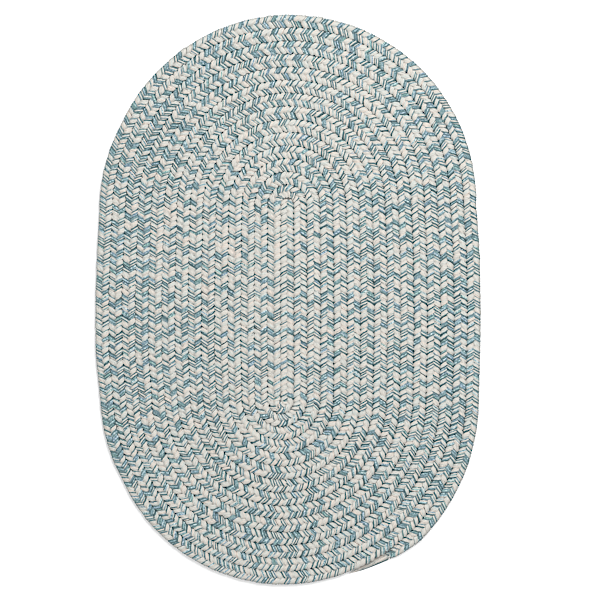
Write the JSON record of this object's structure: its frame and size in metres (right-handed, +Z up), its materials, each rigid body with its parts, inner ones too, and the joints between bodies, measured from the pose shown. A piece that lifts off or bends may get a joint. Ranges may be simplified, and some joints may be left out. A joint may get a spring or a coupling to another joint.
{
  "type": "braided rug",
  "caption": "Flat oval rug: one three-strand braid coiled clockwise from a folded start, laced row to row, with a tapered end on its rim.",
  "frame": {"origin": "middle of the underside, centre of the outline's box", "axes": "+Y along the long axis, towards the end at which the braid starts; +X across; +Z up, out of the top face"},
  "size_m": [0.6088, 0.9016, 0.0095],
  "materials": {
    "braided_yarn": "matt spun yarn, cream with blue-green heather"
  },
  "bodies": {
    "root": {"coiled_braid": "braided_yarn"}
  },
  "joints": []
}
